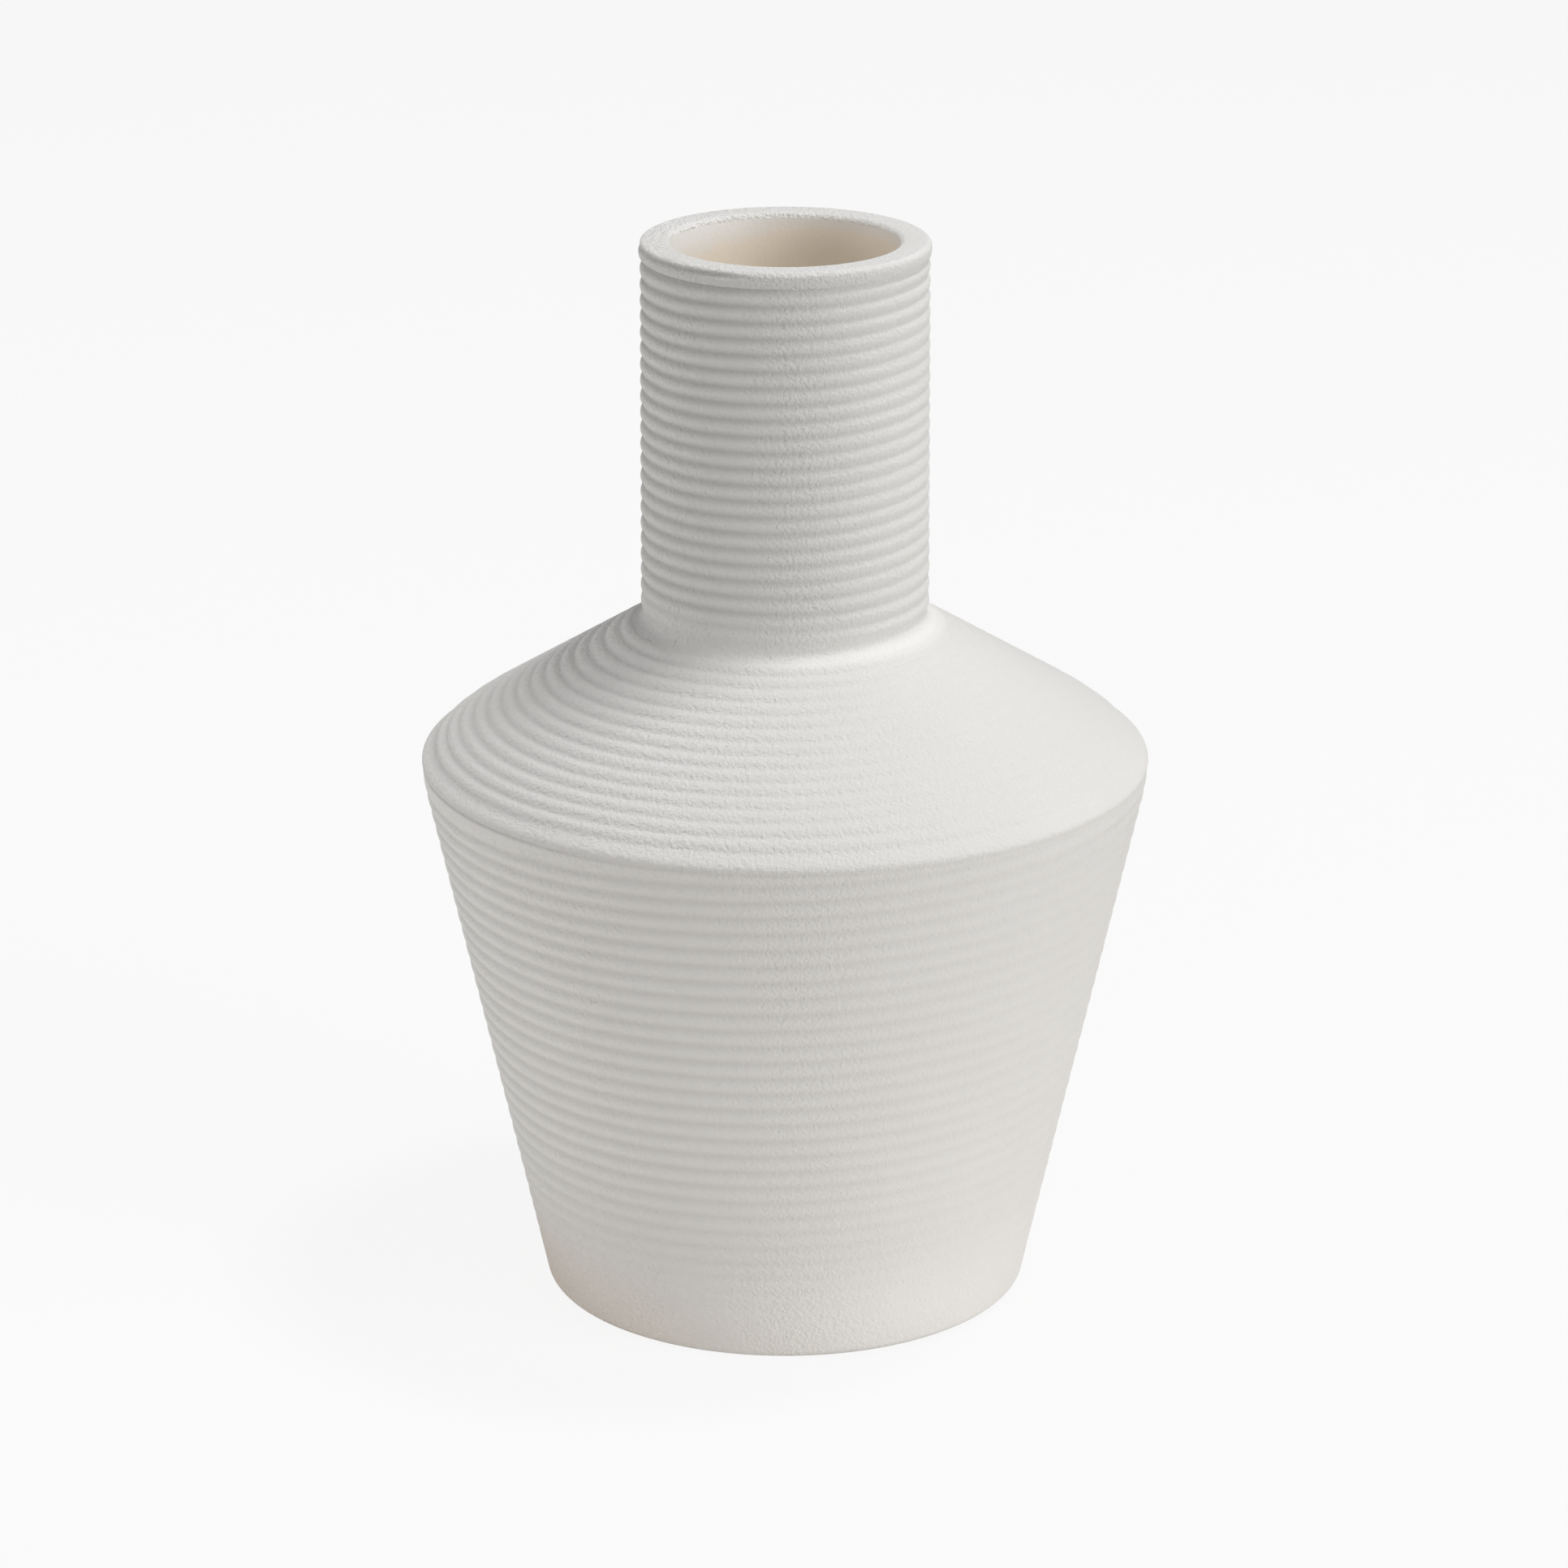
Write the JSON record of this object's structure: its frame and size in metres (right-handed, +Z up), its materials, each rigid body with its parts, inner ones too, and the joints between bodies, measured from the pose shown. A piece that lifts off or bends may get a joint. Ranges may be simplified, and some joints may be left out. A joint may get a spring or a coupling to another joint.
{
  "type": "ceramic vase",
  "caption": "Ribbed matt ceramic vase with a cone-shaped body, a sloping shoulder, a straight neck and a glazed inside.",
  "frame": {"origin": "middle of the standing ring, on the table", "axes": "+Z up along the vase's axis, -Y towards the camera that took the picture"},
  "size_m": [0.1618, 0.1618, 0.24],
  "materials": {
    "clay": "matt, fine sandy bisque",
    "slip": "matt",
    "glaze": "satin cream glaze"
  },
  "bodies": {
    "root": {"base_slab": "clay", "base_slip": "slip", "body_wall": "clay", "ridge_slip": "slip", "shoulder": "clay", "neck_slip": "slip", "neck": "clay", "rim_slip": "slip", "rim": "clay", "inner_glaze": "glaze"}
  },
  "joints": []
}
